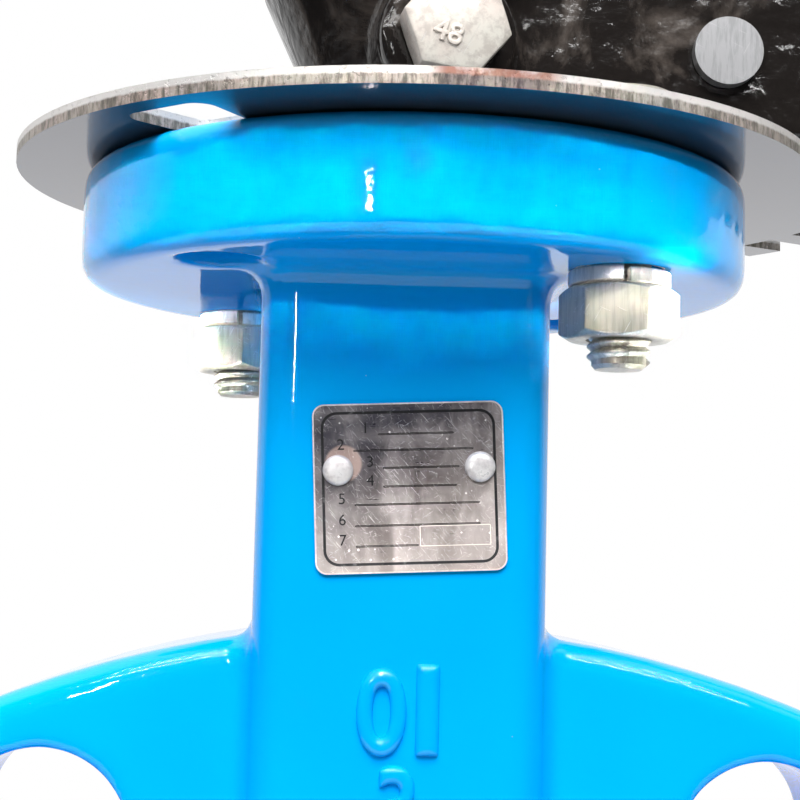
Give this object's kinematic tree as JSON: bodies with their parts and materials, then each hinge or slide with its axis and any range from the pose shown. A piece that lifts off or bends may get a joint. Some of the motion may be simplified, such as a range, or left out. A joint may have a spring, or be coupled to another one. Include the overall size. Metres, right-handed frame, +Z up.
{
  "type": "wafer butterfly valve",
  "caption": "Lever-operated wafer butterfly valve, DN150, rubber-lined, with a notched plate, latching handle and bolt lugs, clamped between two pipe flanges",
  "frame": {"origin": "centre of the disc, where the stem's axis crosses the pipe's axis", "axes": "+Z up along the stem to the lever, Y along the pipe, +X to the lever's grip with the valve closed"},
  "size_m": [0.376, 0.1259, 0.3911],
  "materials": {
    "blue_casting": "glossy blue paint on ductile iron",
    "black_casting": "glossy black paint on rough cast iron",
    "black_rubber": "moulded EPDM",
    "bearing": "plain bearing",
    "zinc_steel": "zinc-plated steel",
    "bright_steel": "turned steel",
    "spring_steel": "dark spring steel",
    "plate_steel": "smooth rolled steel with a sheared edge",
    "disc_iron": "plated ductile iron",
    "label_metal": "scratched bare metal plate",
    "copper_seal": "soft copper"
  },
  "bodies": {
    "valve_body": {"body_casting": "blue_casting", "seat_liner": "black_rubber", "lower_bushing": "bearing", "middle_bushing": "bearing", "upper_bushing": "bearing", "stem_o_rings": "black_rubber", "thrust_washer": "zinc_steel", "dust_seal": "black_rubber", "bottom_plug": "zinc_steel", "bottom_plug_seal": "copper_seal", "notch_plate": "plate_steel", "plate_bolts": "zinc_steel", "plate_spring_washers": "zinc_steel", "plate_nuts": "zinc_steel", "nameplate": "label_metal", "nameplate_rivets": "zinc_steel"},
    "turning_set": {"stem": "bright_steel", "stem_circlip": "spring_steel", "disc": "disc_iron", "disc_pins": "bright_steel", "lever": "black_casting", "clamp_bolt": "zinc_steel", "latch_pivot_pin": "zinc_steel", "latch_pin_clip": "spring_steel", "latch_spring": "spring_steel"},
    "latch": {"latch_trigger": "black_casting"}
  },
  "joints": [
    {"name": "lever_turn", "type": "hinge", "parent": "valve_body", "child": "turning_set", "pos_m": [0, 0, 0.2], "axis": [0, 0, 1], "range_deg": [0, 90]},
    {"name": "latch_squeeze", "type": "hinge", "parent": "turning_set", "child": "latch", "pos_m": [0.04, 0, 0.214], "axis": [0, -1, 0], "range_deg": [-4.5, 6], "stiffness_Nm_per_rad": 1.5, "deforming": ["latch_spring"]}
  ]
}
